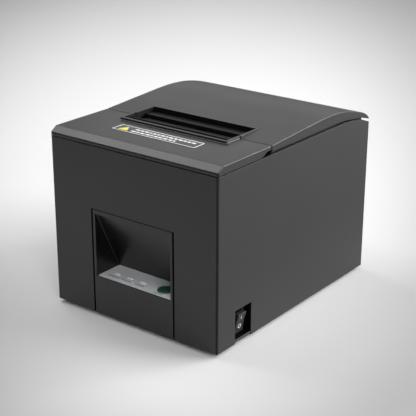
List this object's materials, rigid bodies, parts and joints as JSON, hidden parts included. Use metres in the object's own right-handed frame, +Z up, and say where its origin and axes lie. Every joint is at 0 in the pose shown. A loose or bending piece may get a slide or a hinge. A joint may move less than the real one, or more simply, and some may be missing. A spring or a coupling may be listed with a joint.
{
  "type": "receipt printer",
  "caption": "Desktop thermal receipt printer with a lift-up paper cover, paper exit slot, front indicator window, feed button and side power switch.",
  "frame": {"origin": "on the surface the printer stands on, under the middle of its box", "axes": "+Z up, -Y is the front with the indicator window, +X is the side with the power switch"},
  "size_m": [0.145, 0.1876, 0.1367],
  "materials": {
    "charcoal_plastic": "fine matt texture",
    "black_plastic": "plain matt",
    "black_rubber": "dull",
    "grey_keypad": "satin",
    "green_button": "satin",
    "lamp_plastic": "clear, slightly milky",
    "circuit_board": "solder resist",
    "gear_plastic": "natural acetal",
    "label_film": "satin film",
    "head_ceramic": "glazed",
    "aluminium": "extruded",
    "ribbon": "flat cable",
    "steel": "zinc plated sheet"
  },
  "bodies": {
    "base": {"bottom_tray": "charcoal_plastic", "main_shell": "charcoal_plastic", "rubber_foot_1": "black_rubber", "rubber_foot_2": "black_rubber", "rubber_foot_3": "black_rubber", "rubber_foot_4": "black_rubber", "tray_screw_1": "steel", "tray_screw_2": "steel", "tray_screw_3": "steel", "tray_screw_4": "steel", "front_panel": "charcoal_plastic", "keypad_plate": "grey_keypad", "lamp_window_1": "lamp_plastic", "lamp_window_2": "lamp_plastic", "lamp_window_3": "lamp_plastic", "lamp_board": "circuit_board", "feed_key_switch": "black_plastic", "switch_housing": "black_plastic", "front_lid": "charcoal_plastic", "lid_label": "label_film", "tear_bar": "black_plastic", "hinge_pin_left": "steel", "hinge_pin_right": "steel", "idler_post": "steel", "feed_motor": "steel", "mech_chassis": "steel", "thermal_head": "head_ceramic", "heat_sink": "aluminium", "head_spring_left": "steel", "head_spring_right": "steel", "cutter_frame": "steel", "cutter_motor": "steel", "paper_bucket": "black_plastic", "paper_end_sensor": "black_plastic", "main_board": "circuit_board", "dc_inlet": "black_plastic", "drawer_port": "black_plastic", "lan_port": "black_plastic", "usb_port": "black_plastic", "ribbon_cable": "ribbon"},
    "cover": {"paper_cover": "charcoal_plastic", "cover_liner": "black_plastic", "platen_bushing_left": "black_plastic", "platen_bushing_right": "black_plastic", "fixed_blade": "steel", "blade_holder": "black_plastic"},
    "platen": {"platen_shaft": "steel", "platen_rubber": "black_rubber", "platen_gear": "gear_plastic"},
    "feed_idler": {"idler_gear": "gear_plastic"},
    "feed_drive": {"feed_pinion": "gear_plastic"},
    "cutter_slide": {"cutter_blade": "steel"},
    "cutter_drive": {"cutter_pinion": "gear_plastic"},
    "feed_key": {"feed_button": "green_button"},
    "power_key": {"power_rocker": "black_plastic"},
    "lock": {"platen_lock": "steel"}
  },
  "joints": [
    {"name": "cover_hinge", "type": "hinge", "parent": "base", "child": "cover", "pos_m": [0, 0.0885, 0.112], "axis": [-1, 0, 0], "range_deg": [0, 90]},
    {"name": "platen_spin", "type": "hinge", "parent": "cover", "child": "platen", "pos_m": [0, -0.0295, 0.117], "axis": [1, 0, 0], "continuous": true},
    {"name": "idler_spin", "type": "hinge", "parent": "base", "child": "feed_idler", "pos_m": [-0.057, -0.0295, 0.09935], "axis": [1, 0, 0], "continuous": true},
    {"name": "feed_drive_spin", "type": "hinge", "parent": "base", "child": "feed_drive", "pos_m": [-0.057, -0.04265, 0.09014], "axis": [1, 0, 0], "continuous": true},
    {"name": "cutter_stroke", "type": "slide", "parent": "base", "child": "cutter_slide", "axis": [0, 1, 0], "range_m": [0, 0.005]},
    {"name": "cutter_drive_spin", "type": "hinge", "parent": "base", "child": "cutter_drive", "pos_m": [0.013, -0.066, 0.1265], "axis": [0, 0, 1], "range_deg": [0, 51.2]},
    {"name": "feed_button_press", "type": "slide", "parent": "base", "child": "feed_key", "axis": [0, 0, -1], "range_m": [0, 0.0008], "stiffness_N_per_m": 400},
    {"name": "power_rocker_turn", "type": "hinge", "parent": "base", "child": "power_key", "pos_m": [0.0652, -0.0646, 0.0165], "axis": [0, -1, 0], "range_deg": [0, 26.6]},
    {"name": "platen_lock_turn", "type": "hinge", "parent": "base", "child": "lock", "pos_m": [0, -0.0525, 0.11], "axis": [1, 0, 0], "range_deg": [0, 8], "stiffness_Nm_per_rad": 0.4}
  ],
  "couplings": [
    {"joint": "idler_spin", "follows": "platen_spin", "ratio": -0.57143},
    {"joint": "feed_drive_spin", "follows": "platen_spin", "ratio": 1.3333},
    {"joint": "cutter_drive_spin", "follows": "cutter_stroke", "rad_per_m": 178.57}
  ]
}
